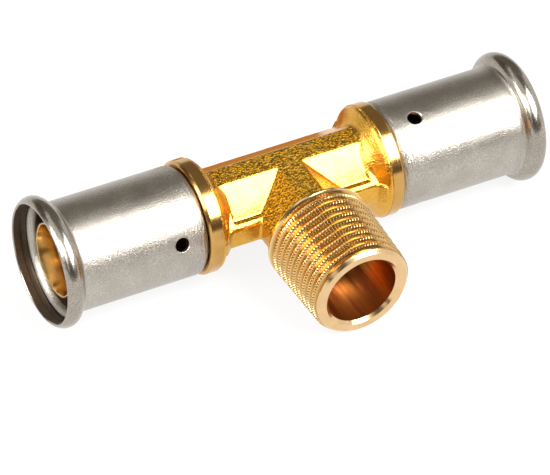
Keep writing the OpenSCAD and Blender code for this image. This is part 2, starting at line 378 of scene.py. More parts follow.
def turned_brass(name, axis, dark, light, tone_attribute=None):
    """The two tones drift over the surface, or follow an attribute of the mesh."""
    material, tree = empty_material(name)
    place = put(tree, "ShaderNodeTexCoord").outputs["Object"]
    stretch = [FEED_STRETCH] * 3
    stretch[axis] = 1.0
    along = put(tree, "ShaderNodeVectorMath", {0: place, 1: stretch}, operation="MULTIPLY").outputs["Vector"]
    feed = put(tree, "ShaderNodeTexNoise", {
        "Vector": along, "Scale": 1 / (FEED_MM * MM), "Detail": 2.0,
    }).outputs["Fac"]
    if tone_attribute:
        tone = put(tree, "ShaderNodeAttribute", attribute_name=tone_attribute).outputs["Fac"]
    else:
        tone = put(tree, "ShaderNodeTexNoise", {
            "Vector": place, "Scale": 1 / (TONE_MM * MM), "Detail": 2.0,
        }).outputs["Fac"]
    colour = put(tree, "ShaderNodeMix", {
        "Factor": tone, "A": linear(dark), "B": linear(light),
    }, data_type="RGBA").outputs["Result"]
    roughness = put(tree, "ShaderNodeMapRange", {
        "Value": feed, "To Min": TURNED_ROUGHNESS[0], "To Max": TURNED_ROUGHNESS[1],
    }).outputs["Result"]
    bump = put(tree, "ShaderNodeBump", {
        "Height": feed, "Strength": FEED_STRENGTH, "Distance": FEED_HEIGHT * MM,
    }).outputs["Normal"]
    shader = put(tree, "ShaderNodeBsdfPrincipled", {
        "Base Color": colour, "Roughness": roughness, "Metallic": 1.0, "Normal": bump,
    })
    put(tree, "ShaderNodeOutputMaterial", {"Surface": shader.outputs["BSDF"]})
    return material


RUN_AXIS = 0
BRANCH_AXIS = 1
TURNED_RUN = turned_brass("turned_brass_run", RUN_AXIS, "bf9048", "d2a868")
# The mouth's paler tones are painted light inside the bore.
LIT_BORED_MOUTH = turned_brass("lit_bored_brass_mouth", RUN_AXIS, "dcb878", "ecd0a0")
TURNED_BRANCH = turned_brass("turned_brass_branch", BRANCH_AXIS, "d6ae7a", "e8c89a")
# The thread's two tones are painted: shade in the roots and highlight on the crests.
CUT_THREAD = turned_brass("cut_brass_thread", BRANCH_AXIS, "a8701e", "f0d094", "crest")
print("materials:", [finish.name for finish in (TURNED_RUN, LIT_BORED_MOUTH, TURNED_BRANCH, CUT_THREAD)])

# %% [markdown]
# The bores are only drilled. Their skin is duller and deep orange, because light meets brass many times
# in there. Broad streaks run along the branch's bore, which is the one in full view, where the drill was
# drawn out.

# %% Drilled brass
# Drilled brass: a dull, streaky mirror in a dark orange.
DRAWN_MM = 1.8
DRAWN_STRETCH = (1.0, 0.12, 1.0)
DRAWN_RANGE = (0.34, 0.7)
DRILLED_TONES = ("7a3c1a", "b8722e")
DRILLED_ROUGHNESS = (0.5, 0.36)


def drilled_brass():
    """Long streaks, paler and smoother than the wall between them."""
    material, tree = empty_material("drilled_brass")
    place = put(tree, "ShaderNodeTexCoord").outputs["Object"]
    drawn = put(tree, "ShaderNodeVectorMath", {0: place, 1: DRAWN_STRETCH}, operation="MULTIPLY")
    drift = put(tree, "ShaderNodeTexNoise", {
        "Vector": drawn.outputs["Vector"], "Scale": 1 / (DRAWN_MM * MM), "Detail": 3.0,
    }).outputs["Fac"]
    streaks = put(tree, "ShaderNodeMapRange", {
        "Value": drift, "From Min": DRAWN_RANGE[0], "From Max": DRAWN_RANGE[1],
    }).outputs["Result"]
    colour = put(tree, "ShaderNodeMix", {
        "Factor": streaks, "A": linear(DRILLED_TONES[0]), "B": linear(DRILLED_TONES[1]),
    }, data_type="RGBA").outputs["Result"]
    roughness = put(tree, "ShaderNodeMapRange", {
        "Value": streaks, "To Min": DRILLED_ROUGHNESS[0], "To Max": DRILLED_ROUGHNESS[1],
    }).outputs["Result"]
    shader = put(tree, "ShaderNodeBsdfPrincipled", {
        "Base Color": colour, "Roughness": roughness, "Metallic": 1.0,
    })
    put(tree, "ShaderNodeOutputMaterial", {"Surface": shader.outputs["BSDF"]})
    return material


DRILLED = drilled_brass()
print("material:", DRILLED.name)

# %% [markdown]
# The middle of the tee has eight flats along the run and along the neck, and they meet in soft edges, as
# a worn die leaves them. Two prisms with a rounded outline give both bars. A bevel on a plain block could
# do it too, but here each kind of edge has a radius of its own.

# %% Forged section
MIDDLE_WIDTH = 19
MIDDLE_HEIGHT = 16.4
TOP_FLAT = 4.4
SIDE_FLAT = 4.3
TOP_EDGE_ROUND = 1.1
SIDE_EDGE_ROUND = 1.6
RIM_X = 18.5

slant = math.atan2(MIDDLE_HEIGHT - SIDE_FLAT, MIDDLE_WIDTH - TOP_FLAT)
slant_r = TOP_FLAT / 2 * math.sin(slant) + MIDDLE_HEIGHT / 2 * math.cos(slant)
slant_high = MIDDLE_HEIGHT / 2 * math.sin(slant) - TOP_FLAT / 2 * math.cos(slant)
slant_low = SIDE_FLAT / 2 * math.sin(slant) - MIDDLE_WIDTH / 2 * math.cos(slant)


def rounded(corners, radii, steps=5):
    """The outline with each corner replaced by an arc of its own radius."""
    points = [Vector(c) for c in corners]
    result = []
    for i, (here, radius) in enumerate(zip(points, radii)):
        before = (points[i - 1] - here).normalized()
        after = (points[(i + 1) % len(points)] - here).normalized()
        half = before.angle(after) / 2
        middle = here + (before + after).normalized() * radius / math.sin(half)
        start = here + before * radius / math.tan(half) - middle
        end = here + after * radius / math.tan(half) - middle
        for k in range(steps + 1):
            result.append(tuple(middle + start.slerp(end, k / steps).normalized() * radius))
    return result


def flats_outline():
    """The forged section, sideways and up: eight flats that meet in soft edges."""
    w, h, t, f = MIDDLE_WIDTH / 2, MIDDLE_HEIGHT / 2, TOP_FLAT / 2, SIDE_FLAT / 2
    corners = [(w, f), (t, h), (-t, h), (-w, f), (-w, -f), (-t, -h), (t, -h), (w, -f)]
    return rounded(corners, [SIDE_EDGE_ROUND, TOP_EDGE_ROUND, TOP_EDGE_ROUND, SIDE_EDGE_ROUND] * 2)


def prism(corners, place_start, place_end):
    """A closed prism between two copies of an outline. The two functions give each corner's place."""
    work = bmesh.new()
    start = [work.verts.new(Vector(place_start(*c)) * MM) for c in corners]
    end = [work.verts.new(Vector(place_end(*c)) * MM) for c in corners]
    work.faces.new(start)
    work.faces.new(end)
    for i in range(len(corners)):
        k = (i + 1) % len(corners)
        work.faces.new((start[i], start[k], end[k], end[i]))
    bmesh.ops.recalc_face_normals(work, faces=work.faces)
    return work


run_bar = prism(flats_outline(), lambda s, u: (-RIM_X, s, u), lambda s, u: (RIM_X, s, u))
neck_bar = prism(flats_outline(), lambda s, u: (s, 0, u), lambda s, u: (s, -thread_start, u))
print(f"slanted flats lie {slant_r:.2f} mm from the axis and lean {math.degrees(slant):.1f} degrees")

# %% [markdown]
# The upper slanted flat on the branch's side has a recessed panel on either side of the neck, and both
# are bare. The floor of a panel rises from a small rounded foot to nothing at the upper edge. One long
# cut makes the two, because the neck fills its middle again.

# %% Recessed panels
PANEL_DEPTH = 0.7
PANEL_UPPER_STRIP = 0.85
PANEL_LOWER_LEDGE = 1.3
PANEL_END_X = 14.9
PANEL_FOOT_END_DEG = 262
PANEL_FOOT_STEPS = 6
PANEL_FLOOR_STEPS = 8
PANEL_CUT_RISE = 1

panel_low = slant_low + PANEL_LOWER_LEDGE
panel_high = slant_high - PANEL_UPPER_STRIP
panel_foot = panel_low + PANEL_DEPTH
panel_corners = arc(panel_foot, slant_r, PANEL_DEPTH, 180, PANEL_FOOT_END_DEG, PANEL_FOOT_STEPS)
for i in range(PANEL_FLOOR_STEPS + 1):
    t = i / PANEL_FLOOR_STEPS
    floor_out = slant_r - PANEL_DEPTH * (1 - t) ** 2
    panel_corners.append((panel_foot + (panel_high - panel_foot) * t, floor_out))
panel_corners.append((panel_high, slant_r + PANEL_CUT_RISE))
panel_corners.append((panel_low, slant_r + PANEL_CUT_RISE))


def on_slant(x, along, out):
    """A place given along the upper slanted flat on the branch's side and out from it."""
    sideways = along * math.cos(slant) - out * math.sin(slant)
    upwards = along * math.sin(slant) + out * math.cos(slant)
    return (x, sideways, upwards)


panel_cut = make_object("panel_cut", plain_mesh(prism(
    panel_corners,
    lambda s, u: on_slant(-PANEL_END_X, s, u),
    lambda s, u: on_slant(PANEL_END_X, s, u)), "panel_cut"))
run_object = make_object("run_bar", plain_mesh(run_bar, "run_bar"))
subtract(run_object, panel_cut)
run_mesh = evaluated_mesh(run_object, "run_mesh")
bpy.data.objects.remove(panel_cut)
print(f"panel {panel_high - panel_low:.2f} mm high, {len(run_mesh.polygons)} faces in the cut bar")

# %% [markdown]
# The bar widens into a collar at each end through a cone with a rounded foot. The two side flats end in
# fillets of their own, short wedges in the corner between flat and collar.

# %% Collar cones
COLLAR_ROUND = 1.0
ROUND_START_DEG = 145
RIM_STEP = 0.1
RIM_OVERLAP = 0.3
CORE_R = 0.5
CONE_FILLET = 3.2
CONE_STEPS = 96
FOOT_SINK = 0.04
FLAT_FILLET = 1.7
FILLET_SINK = 0.2

forged_r = collar_r - RIM_STEP
rim_round = arc(RIM_X, forged_r - COLLAR_ROUND, COLLAR_ROUND, ROUND_START_DEG, 90)
cone_slope = math.radians(ROUND_START_DEG - 90)
foot_r = slant_r - FOOT_SINK
cone_rise = rim_round[0][1] - foot_r - CONE_FILLET * (1 - math.cos(cone_slope))
foot_x = rim_round[0][0] - cone_rise / math.tan(cone_slope) - CONE_FILLET * math.sin(cone_slope)
foot_turn = math.degrees(math.asin((PANEL_END_X - foot_x) / CONE_FILLET))
cone_outline = [
    (PANEL_END_X, CORE_R),
    *arc(foot_x, foot_r + CONE_FILLET, CONE_FILLET, foot_turn - 90, ROUND_START_DEG - 180),
    *rim_round, (RIM_X + RIM_OVERLAP, forged_r), (RIM_X + RIM_OVERLAP, CORE_R),
]
corner_x = RIM_X - COLLAR_ROUND
flat_y = MIDDLE_WIDTH / 2 - FILLET_SINK
wedge = [(corner_x - FLAT_FILLET, flat_y), (corner_x, flat_y), (corner_x, flat_y + FLAT_FILLET)]


def add_shape(whole, work):
    """Adds one bmesh to another, by way of a mesh that is then dropped."""
    mesh = plain_mesh(work, "shape")
    whole.from_mesh(mesh)
    bpy.data.meshes.remove(mesh)


blank = bmesh.new()
blank.from_mesh(run_mesh)
add_shape(blank, neck_bar)
for side in (1, -1):
    cone = at_side(turned(cone_outline, CONE_STEPS), side)
    bmesh.ops.recalc_face_normals(cone, faces=cone.faces)
    add_shape(blank, cone)
    for front in (-1, 1):
        add_shape(blank, prism(
            wedge,
            lambda x, y: (side * x, front * y, -SIDE_FLAT / 2),
            lambda x, y: (side * x, front * y, SIDE_FLAT / 2)))
print(f"cone foot at {foot_x:.2f} mm, faces in the blank: {len(blank.faces)}")

# %% [markdown]
# The parts of the blank still pass through each other. A voxel remesh fuses them into one skin, and a
# smoothing rounds every edge alike, as a worn die does. The bores are drilled last and so keep sharp
# edges.

# %% Fuse and drill
VOXEL = 0.21
SOFTEN_FACTOR = 0.5
SOFTEN_ROUNDS = 5
BRANCH_INNER_R = 6.0
DRILL_OVERRUN = 1
DRILL_STEPS = 128

blank_object = make_object("forging_blank", plain_mesh(blank, "forging_blank"))
fuse = blank_object.modifiers.new("fuse", "REMESH")
fuse.mode = "VOXEL"
fuse.voxel_size = VOXEL * MM
soften = blank_object.modifiers.new("soften", "SMOOTH")
soften.factor = SOFTEN_FACTOR
soften.iterations = SOFTEN_ROUNDS


def drill(radius, start, end, name):
    """A plain rod between two places, used to cut a bore."""
    work = bmesh.new()
    axis = Vector(end) - Vector(start)
    middle = (Vector(start) + Vector(end)) / 2
    turn = axis.to_track_quat("Z", "Y").to_matrix().to_4x4()
    bmesh.ops.create_cone(
        work, cap_ends=True, segments=DRILL_STEPS, radius1=radius * MM, radius2=radius * MM,
        depth=axis.length * MM, matrix=Matrix.Translation(middle * MM) @ turn)
    return make_object(name, plain_mesh(work, name))


run_reach = RIM_X + DRILL_OVERRUN
drills = [
    drill(run_bore_r, (-run_reach, 0, 0), (run_reach, 0, 0), "run_drill"),
    drill(BRANCH_INNER_R, (0, 0, 0), (0, -thread_start - DRILL_OVERRUN, 0), "branch_drill"),
]
for rod in drills:
    subtract(blank_object, rod)
forging_mesh = evaluated_mesh(blank_object, "tee_forging")
for rod in drills:
    bpy.data.objects.remove(rod)
print("forging faces:", len(forging_mesh.polygons))

# %% [markdown]
# The grain lies on the top flat and on the neck's left slant, and the other flats that show came out
# smooth. The bottom flat is taken to be like the top one. These grainy flats also take the painted shade
# of the darker tone. So the skin can be worked out from the place of a point and the way it faces, with
# no painted map. The walls of the bores are told apart first.

# %% Where the grain lies
TOP_FACING = 0.93
SIDE_FACING = 0.3
# Full grain also brings the full painted shade of the pitted tones.
NECK_START_Y = -3
GRAINY_SKIN = 1.0
NECK_SKIN = 0.12
CONE_SKIN = 0.15
FLAT_SKIN = 0.1
ON_WALL = 0.02


def in_bore(place):
    """Whether a place lies on the wall of one of the two bores."""
    in_run = math.hypot(place.y, place.z) < (run_bore_r + ON_WALL) * MM
    in_branch = math.hypot(place.x, place.z) < (BRANCH_INNER_R + ON_WALL) * MM
    return in_run or (in_branch and place.y < 0)


def skin_at(place, normal):
    """How grainy the skin is: fully on the flats that keep the grain, faintly elsewhere."""
    if abs(normal.z) > TOP_FACING:
        return GRAINY_SKIN
    beside_branch = place.y < NECK_START_Y * MM and abs(place.x) < MIDDLE_WIDTH / 2 * MM
    if beside_branch and abs(normal.y) < SIDE_FACING:
        left_slant = normal.x < -SIDE_FACING and abs(normal.z) > SIDE_FACING
        return GRAINY_SKIN if left_slant else NECK_SKIN
    return CONE_SKIN if abs(normal.x) > SIDE_FACING else FLAT_SKIN


print("skin on the top flat:", skin_at(Vector((0, 0, MIDDLE_HEIGHT / 2 * MM)), Vector((0, 0, 1))))

# %% [markdown]
# The forging is not quite even: its flats wave by a few hundredths of a millimetre. Each vertex outside
# the bores moves a little along its normal, and its skin value is kept. The values then become an
# attribute of the mesh, where the material finds them.

# %% Forged skin
WAVE_MM = 1.6
WAVE_HEIGHT = 0.035
FORGED_CREASE_DEG = 40

shape = bmesh.new()
shape.from_mesh(forging_mesh)
shape.normal_update()
bore_skin = [in_bore(v.co) for v in shape.verts]
skin_values = []
for vertex, drilled in zip(shape.verts, bore_skin):
    if drilled:
        skin_values.append(0.0)
        continue
    skin_values.append(skin_at(vertex.co, vertex.normal))
    wave = noise.noise(vertex.co / (WAVE_MM * MM))
    vertex.co += vertex.normal * wave * WAVE_HEIGHT * MM
for face in shape.faces:
    face.material_index = 1 if all(bore_skin[v.index] for v in face.verts) else 0
shade(shape, FORGED_CREASE_DEG)
shape.to_mesh(forging_mesh)
shape.free()

skin_layer = forging_mesh.attributes.new("skin", "FLOAT", "POINT")
skin_layer.data.foreach_set("value", skin_values)
forging_mesh.materials.clear()
for finish in (FORGED, DRILLED):
    forging_mesh.materials.append(finish)
forging = make_object("tee_forging", forging_mesh)
print("grainy share of the skin:", round(skin_values.count(GRAINY_SKIN) / len(skin_values), 2))

# %% [markdown]
# Each end of the run was turned on a lathe: the collar's rim, the groove and rib that hold the sleeve,
# and the insert that goes inside the pipe, with barbs and two ring grooves. Most of it hides under the
# sleeve, but it is what makes the joint work, so one outline gives it all.

# %% Outline of a turned end
RIM_LENGTH = 2.3
COLLAR_FACE = 21.3
COLLAR_CHAMFER_DEPTH = 0.4
SEAT_RIB_R = 10.15
SWAGE_GROOVE_R = 9.7
RIB_START = 22.5
SEAT_FACE = 23.3
WASHER_SEAT_RISE = 0.3
GROOVE_R = 6.71
GROOVE_WIDTH = 1.9
GROOVE_LAND = 1.0
BARB_PITCH = 2.0
BARB_DEPTH = 0.45
TIP_BARBS = 2
MIDDLE_BARBS = 3
TIP_CHAMFER = 1.0
TIP_CHAMFER_DEPTH = 0.35
MOUTH_CONE = 4.0
MOUTH_CONE_DEPTH = 0.9


def barb_points(start, count):
    """A saw tooth for each barb, falling towards the tip."""
    points = []
    for i in range(count):
        points.append((start + i * BARB_PITCH, insert_r))
        points.append((start + (i + 1) * BARB_PITCH, insert_r - BARB_DEPTH))
    return points


def turned_end_outline():
    """The right end's outline, from the collar out to the tip and back along the bore."""
    inner_groove = washer_end + land_length
    middle_barbs = inner_groove + GROOVE_WIDTH + GROOVE_LAND
    outer_groove = middle_barbs + MIDDLE_BARBS * BARB_PITCH + GROOVE_LAND
    tip_barbs = outer_groove + GROOVE_WIDTH + GROOVE_LAND
    washer_seat_r = insert_r + WASHER_SEAT_RISE
    return [
        (RIM_X, run_bore_r), (RIM_X, collar_r), (RIM_X + RIM_LENGTH, collar_r),
        (COLLAR_FACE, collar_r - COLLAR_CHAMFER_DEPTH), (COLLAR_FACE, SWAGE_GROOVE_R),
        (RIB_START, SWAGE_GROOVE_R), (RIB_START, SEAT_RIB_R), (SEAT_FACE, SEAT_RIB_R),
        (SEAT_FACE, washer_seat_r), (washer_end, washer_seat_r), (washer_end, insert_r),
        (inner_groove, insert_r), (inner_groove, GROOVE_R),
        (inner_groove + GROOVE_WIDTH, GROOVE_R), (inner_groove + GROOVE_WIDTH, insert_r),
        *barb_points(middle_barbs, MIDDLE_BARBS),
        (outer_groove - GROOVE_LAND, insert_r), (outer_groove, insert_r), (outer_groove, GROOVE_R),
        (outer_groove + GROOVE_WIDTH, GROOVE_R), (outer_groove + GROOVE_WIDTH, insert_r),
        *barb_points(tip_barbs, TIP_BARBS),
        (tip_x - TIP_CHAMFER, insert_r), (tip_x, insert_r - TIP_CHAMFER_DEPTH),
        (tip_x, run_bore_r + MOUTH_CONE_DEPTH), (tip_x - MOUTH_CONE, run_bore_r),
    ]


print("points in the outline of a turned end:", len(turned_end_outline()))

# %% [markdown]
# The outline is spun once for the right end and mirrored for the left one. The cone in the mouth was
# bored with a finer cut and takes a paler copy of the turned brass, whose paler tone is painted light in
# the mouth. The wall behind it is only drilled. So these faces get finishes of their own.

# %% Turned ends
EDGE_BREAK = 0.08
TURNED_CREASE_DEG = 15
NEAR_WALL = 0.05

end_pieces = []
for side, name in ((-1, "tee_left_end"), (1, "tee_right_end")):
    work = at_side(turned(broken(turned_end_outline(), EDGE_BREAK)), side)
    end_mesh = finish_mesh(work, name, TURNED_CREASE_DEG)
    for finish in (TURNED_RUN, LIT_BORED_MOUTH, DRILLED):
        end_mesh.materials.append(finish)
    for face in end_mesh.polygons:
        reach = math.hypot(face.center.y, face.center.z) / MM
        deep = (tip_x - abs(face.center.x) / MM) / MOUTH_CONE
        wall = run_bore_r + MOUTH_CONE_DEPTH * max(0, 1 - deep)
        if reach < wall + NEAR_WALL:
            face.material_index = 1 if deep < 1 else 2
    end_pieces.append(make_object(name, end_mesh))
print("turned ends:", [len(piece.data.polygons) for piece in end_pieces])

# %% [markdown]
# The branch carries a tapered pipe thread, and its crests are notched so that sealing tape or hemp can
# grip. A thread follows a rule, so Geometry Nodes make it: a flat grid is wrapped into a ribbon that
# winds round the branch. One side of the ribbon meets the other a turn later, so the turns join into one
# skin. The sums that place a point are kept in a table, and a loop turns each row into a node.

# %% Sums of the thread
ROOT_TO_CREST = (0.1, 0.8)
NOTCHED_CREST = (0.62, 0.82)
NOTCH_BEAT = (-0.2, 0.6)
LEAD_IN = (0.1 * MM, 0.9 * MM)

# Each row names a value, the sum that gives it, and what goes in: numbers, inputs of the tree or rows above.
THREAD_SUMS = [
    ("way", "ADD", "grid x", 0.5),
    ("across", "ADD", "grid y", 0.5),
    ("turns", "MULTIPLY", "way", "Turns"),
    ("angle", "MULTIPLY", "turns", 2 * math.pi),
    ("turns and across", "ADD", "turns", "across"),
    ("turns wound", "SUBTRACT", "turns and across", 1.0),
    ("length wound", "MULTIPLY", "turns wound", "Pitch"),
    ("length from end", "MAXIMUM", "length wound", 0.0),
    ("along", "MINIMUM", "length from end", "Length"),
    ("across twice", "MULTIPLY", "across", 2.0),
    ("off middle", "SUBTRACT", "across twice", 1.0),
    ("to side", "ABSOLUTE", "off middle"),
    ("ridge", "SUBTRACT", 1.0, "to side"),
    ("flank", "LINEAR", "ridge", *ROOT_TO_CREST),
    ("plain start", "SUBTRACT", "Length", "Plain length"),
    ("cut stops", "ADD", "plain start", "Pitch"),
    ("cut at base", "SMOOTHSTEP", "along", "cut stops", "plain start"),
    ("cut at end", "SMOOTHSTEP", "along", *LEAD_IN),
    ("cut", "MULTIPLY", "cut at base", "cut at end"),
    ("below flank", "SUBTRACT", 1.0, "flank"),
    ("full groove", "MULTIPLY", "below flank", "Depth"),
    ("groove", "MULTIPLY", "full groove", "cut"),
    ("notch angle", "MULTIPLY", "angle", "Notches per turn"),
    ("beat", "COSINE", "notch angle"),
    ("in notch", "SMOOTHSTEP", "beat", *NOTCH_BEAT),
    ("on crest", "SMOOTHSTEP", "ridge", *NOTCHED_CREST),
    ("notches full", "SUBTRACT", "plain start", "Pitch"),
    ("notches fade", "SMOOTHSTEP", "along", "plain start", "notches full"),
    ("notch on crest", "MULTIPLY", "in notch", "on crest"),
    ("notch faded", "MULTIPLY", "notch on crest", "notches fade"),
    ("notch deep", "MULTIPLY", "Notch depth", "cut at end"),
    ("notch", "MULTIPLY", "notch faded", "notch deep"),
    ("widening", "MULTIPLY", "along", "Taper"),
    ("crest radius", "ADD", "End radius", "widening"),
    ("grooved", "SUBTRACT", "crest radius", "groove"),
    ("notched", "SUBTRACT", "grooved", "notch"),
    ("chamfer", "ADD", "Rim radius", "along"),
    ("radius", "MINIMUM", "notched", "chamfer"),
    ("cosine", "COSINE", "angle"),
    ("turned back", "MULTIPLY", "angle", -1.0),
    ("sine", "SINE", "turned back"),
    ("x", "MULTIPLY", "radius", "cosine"),
    ("y", "SUBTRACT", "along", "Branch end"),
    ("z", "MULTIPLY", "radius", "sine"),
]
print("sums in the thread:", len(THREAD_SUMS))

# %% [markdown]
# The tree has a named input for each size. It starts from a grid, gives each point its new place and
# merges the seams where the turns meet.

# %% Thread tree
ACROSS_POINTS = 11
SEAM_DISTANCE = 0.002
SIZE_INPUTS = (
    "Pitch", "Depth", "End radius", "Taper", "Length", "Branch end", "Rim radius", "Plain length",
    "Notch depth", "Turns",
)
COUNT_INPUTS = ("Steps", "Notches per turn")


def thread_tree():
    """Wraps a grid into a tapered, notched thread about -Y. All lengths are in metres."""
    tree = bpy.data.node_groups.new("notched_thread", "GeometryNodeTree")
    sockets = tree.interface
    sockets.new_socket("Geometry", in_out="INPUT", socket_type="NodeSocketGeometry")
    for label in SIZE_INPUTS:
        sockets.new_socket(label, in_out="INPUT", socket_type="NodeSocketFloat")
    for label in COUNT_INPUTS:
        sockets.new_socket(label, in_out="INPUT", socket_type="NodeSocketInt")
    sockets.new_socket("Material", in_out="INPUT", socket_type="NodeSocketMaterial")
    sockets.new_socket("Geometry", in_out="OUTPUT", socket_type="NodeSocketGeometry")

    source = put(tree, "NodeGroupInput").outputs
    grid = put(tree, "GeometryNodeMeshGrid", {
        "Size X": 1.0, "Size Y": 1.0, "Vertices X": source["Steps"], "Vertices Y": ACROSS_POINTS,
    }).outputs["Mesh"]
    position = put(tree, "GeometryNodeInputPosition").outputs[0]
    flat = put(tree, "ShaderNodeSeparateXYZ", {0: position}).outputs
    made = {label: source[label] for label in SIZE_INPUTS + COUNT_INPUTS}
    made["grid x"] = flat["X"]
    made["grid y"] = flat["Y"]
    for name, kind, *values in THREAD_SUMS:
        given = [made[value] if isinstance(value, str) else value for value in values]
        if kind in ("LINEAR", "SMOOTHSTEP"):
            node = put(tree, "ShaderNodeMapRange", {
                "Value": given[0], "From Min": given[1], "From Max": given[2],
            }, interpolation_type=kind)
        else:
            node = put(tree, "ShaderNodeMath", dict(enumerate(given)), operation=kind)
        made[name] = node.outputs[0]

    placed = put(tree, "ShaderNodeCombineXYZ", {"X": made["x"], "Y": made["y"], "Z": made["z"]}).outputs[0]
    wrapped = put(tree, "GeometryNodeSetPosition", {"Geometry": grid, "Position": placed}).outputs[0]
    joined = put(tree, "GeometryNodeMergeByDistance", {
        "Geometry": wrapped, "Distance": SEAM_DISTANCE * MM,
    }).outputs[0]
    real = put(tree, "GeometryNodeRealizeInstances", {"Geometry": joined}).outputs[0]
    dressed = put(tree, "GeometryNodeSetMaterial", {
        "Geometry": real, "Material": source["Material"],
    }).outputs[0]
    put(tree, "NodeGroupOutput", {"Geometry": dressed})
    return tree


winding_tree = thread_tree()
print("nodes in the thread tree:", len(winding_tree.nodes))

# %% [markdown]
# The pitch, taper and radius are those of a half inch pipe thread, and the notches are as close as they
# look in the photograph. The modifier's inputs are set by the identifiers of their sockets, and the
# result becomes a plain mesh.

# %% Wind the thread
PITCH = 1.814
THREAD_DEPTH = 1.0
TAPER = 1 / 32
GAUGE_LENGTH = 8.2
NOTCHES_PER_TURN = 100
STEPS_PER_NOTCH = 6
NOTCH_DEPTH = 0.38
END_CHAMFER = 0.9
PLAIN_LENGTH = 1.2

steps_per_turn = NOTCHES_PER_TURN * STEPS_PER_NOTCH
thread_turns = round((thread_length / PITCH + 1) * steps_per_turn) / steps_per_turn
thread_end_r = gauge_r - GAUGE_LENGTH * TAPER
thread_sizes = {
    "Pitch": PITCH * MM, "Depth": THREAD_DEPTH * MM, "End radius": thread_end_r * MM, "Taper": TAPER,
    "Length": thread_length * MM, "Branch end": branch_end * MM,
    "Rim radius": (thread_end_r - END_CHAMFER) * MM,
    "Plain length": PLAIN_LENGTH * MM, "Notch depth": NOTCH_DEPTH * MM, "Turns": thread_turns,
    "Steps": round(thread_turns * steps_per_turn) + 1, "Notches per turn": NOTCHES_PER_TURN,
    "Material": CUT_THREAD,
}
winding = make_object("winding", bpy.data.meshes.new("winding"))
wind = winding.modifiers.new("thread", "NODES")
wind.node_group = winding_tree
for item in winding_tree.interface.items_tree:
    if item.in_out == "INPUT" and item.name in thread_sizes:
        wind[item.identifier] = thread_sizes[item.name]
thread_mesh = evaluated_mesh(winding, "tee_thread")
print("thread faces:", len(thread_mesh.polygons), "turns:", round(thread_turns, 2))

# %% [markdown]
# The skin of the thread is open at both ends. Rings are added inwards from its two rims, for the end
# face, the bore with its chamfer, and the cone behind the thread, and the last two rings are bridged to
# close the piece.

# %% Branch end
BRANCH_BORE_CHAMFER = 0.6
SHOULDER_LENGTH = 1.4
SHOULDER_DEPTH = 1.7
DEGENERATE_SIZE = 1e-6
AT_RIM = 0.01

end_y = -branch_end * MM
base_y = -thread_start * MM
branch = bmesh.new()
branch.from_mesh(thread_mesh)
bmesh.ops.dissolve_degenerate(branch, edges=branch.edges, dist=DEGENERATE_SIZE)
rim_edges = [e for e in branch.edges if e.is_boundary]
front_rim = [e for e in rim_edges if abs(e.verts[0].co.y - end_y) < AT_RIM * MM]
back_rim = [e for e in rim_edges if abs(e.verts[0].co.y - base_y) < AT_RIM * MM]


def ring_from(edges, y, radius):
    """Extrudes a rim to a new ring at another place along the branch and with another radius."""
    made = bmesh.ops.extrude_edge_only(branch, edges=edges)["geom"]
    for vertex in (g for g in made if isinstance(g, bmesh.types.BMVert)):
        turn = math.atan2(vertex.co.z, vertex.co.x)
        vertex.co = (radius * MM * math.cos(turn), y, radius * MM * math.sin(turn))
    return [g for g in made if isinstance(g, bmesh.types.BMEdge)]


front = ring_from(front_rim, end_y, branch_bore_r + BRANCH_BORE_CHAMFER)
front = ring_from(front, end_y + BRANCH_BORE_CHAMFER * MM, branch_bore_r)
shoulder_y = base_y + SHOULDER_LENGTH * MM
base_r = thread_end_r + thread_length * TAPER
rear = ring_from(back_rim, shoulder_y, base_r - SHOULDER_DEPTH)
rear = ring_from(rear, shoulder_y, BRANCH_INNER_R)
rear = ring_from(rear, base_y + (branch_bore_r - BRANCH_INNER_R) * MM, BRANCH_INNER_R)
rear = ring_from(rear, base_y, branch_bore_r)
bmesh.ops.bridge_loops(branch, edges=front + rear)
print("rims:", len(front_rim), len(back_rim), "of", len(rim_edges))

# %% [markdown]
# The bore is drilled, the end face is turned and the rest is thread. The crest attribute says how near
# each point of the thread lies to the full radius, and it carries painted highlight and shade: a power
# above one keeps the flanks deep in painted shade and only the crests pale.

# %% Finishes of the branch
THREAD_CREASE_DEG = 20
PAINTED_CREST_POWER = 1.5

for face in branch.faces:
    middle = face.calc_center_median()
    reach = math.hypot(middle.x, middle.z)
    behind_chamfer = middle.y > end_y + BRANCH_BORE_CHAMFER * MM
    if behind_chamfer and reach < (branch_bore_r + ON_WALL) * MM:
        face.material_index = 2
    elif middle.y < end_y + END_CHAMFER * MM:
        face.material_index = 1
    else:
        face.material_index = 0
branch_mesh = finish_mesh(branch, "tee_thread", THREAD_CREASE_DEG)
for finish in (CUT_THREAD, TURNED_BRANCH, DRILLED):
    branch_mesh.materials.append(finish)

# These values carry the painted highlight on the crests and the painted shade in the roots.
painted_crest_light = []
for vertex in branch_mesh.vertices:
    full_r = thread_end_r + (vertex.co.y / MM + branch_end) * TAPER
    below = full_r - math.hypot(vertex.co.x, vertex.co.z) / MM
    painted_crest_light.append(min(1.0, max(0.0, 1 - below / THREAD_DEPTH)) ** PAINTED_CREST_POWER)
painted_crest_layer = branch_mesh.attributes.new("crest", "FLOAT", "POINT")
painted_crest_layer.data.foreach_set("value", painted_crest_light)
thread = make_object("tee_thread", branch_mesh)
print("branch faces:", len(branch_mesh.polygons))

# %% [markdown]
# The sleeves are drawn stainless tube, and three finishes of that metal show. The outside is satin, with
# a fine speckle and lines round the tube. The bead was rolled, which burnished it, so it is smoother and
# a little darker. The inside is duller, and its darker, browner tone is painted shade, because little light
# gets in there. The swaging tool has left drag marks round the end that it closed. One recipe gives all
# three, because only tones, roughness and grit differ.

